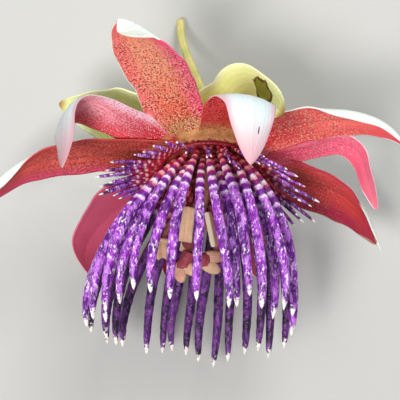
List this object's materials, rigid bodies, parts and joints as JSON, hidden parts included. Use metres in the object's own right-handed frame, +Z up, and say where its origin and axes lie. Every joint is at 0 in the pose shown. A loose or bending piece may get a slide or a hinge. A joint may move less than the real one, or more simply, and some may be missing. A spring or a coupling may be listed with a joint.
{
  "type": "passion flower",
  "caption": "Passion flower as picked, lying on its side: red sepals and petals round a bell of banded purple filaments, with green bracts and a cut stalk.",
  "frame": {"origin": "middle of the footprint, on the surface that the flower lies on", "axes": "+Z up from that surface, -Y the way the corona's mouth points, +X to the right as seen from above with the stalk away from the viewer"},
  "size_m": [0.1048, 0.0918, 0.0743],
  "materials": {
    "sepal_red": "satin",
    "petal_pink": "satin",
    "bract_green": "satin",
    "stalk_green": "satin",
    "cup_ochre": "satin",
    "corona_purple": "satin",
    "ring_crimson": "satin",
    "column_cream": "satin",
    "anther_tan": "matte"
  },
  "bodies": {
    "root": {"bract_left": "bract_green", "bract_lower": "bract_green", "bract_right": "bract_green", "column": "column_cream", "floral_cup": "cup_ochre", "long_filament_01": "corona_purple", "long_filament_02": "corona_purple", "long_filament_03": "corona_purple", "long_filament_04": "corona_purple", "long_filament_05": "corona_purple", "long_filament_06": "corona_purple", "long_filament_07": "corona_purple", "long_filament_08": "corona_purple", "long_filament_09": "corona_purple", "long_filament_10": "corona_purple", "long_filament_11": "corona_purple", "long_filament_12": "corona_purple", "long_filament_13": "corona_purple", "long_filament_14": "corona_purple", "long_filament_15": "corona_purple", "long_filament_16": "corona_purple", "long_filament_17": "corona_purple", "long_filament_18": "corona_purple", "long_filament_19": "corona_purple", "long_filament_20": "corona_purple", "long_filament_21": "corona_purple", "long_filament_22": "corona_purple", "long_filament_23": "corona_purple", "long_filament_24": "corona_purple", "long_filament_25": "corona_purple", "long_filament_26": "corona_purple", "long_filament_27": "corona_purple", "long_filament_28": "corona_purple", "long_filament_29": "corona_purple", "long_filament_30": "corona_purple", "long_filament_31": "corona_purple", "long_filament_32": "corona_purple", "long_filament_33": "corona_purple", "long_filament_34": "corona_purple", "outer_corona": "ring_crimson", "ovary": "column_cream", "peduncle": "stalk_green", "petal_left": "petal_pink", "petal_lower": "petal_pink", "petal_lower_left": "petal_pink", "petal_right": "petal_pink", "petal_top_right": "petal_pink", "sepal_left": "sepal_red", "sepal_lower": "sepal_red", "sepal_lower_right": "sepal_red", "sepal_right": "sepal_red", "sepal_top": "sepal_red", "stamen_left": "anther_tan", "stamen_lower_left": "anther_tan", "stamen_lower_right": "anther_tan", "stamen_right": "anther_tan", "stamen_upper": "anther_tan", "style_1": "column_cream", "style_2": "column_cream", "style_3": "column_cream"}
  },
  "joints": []
}
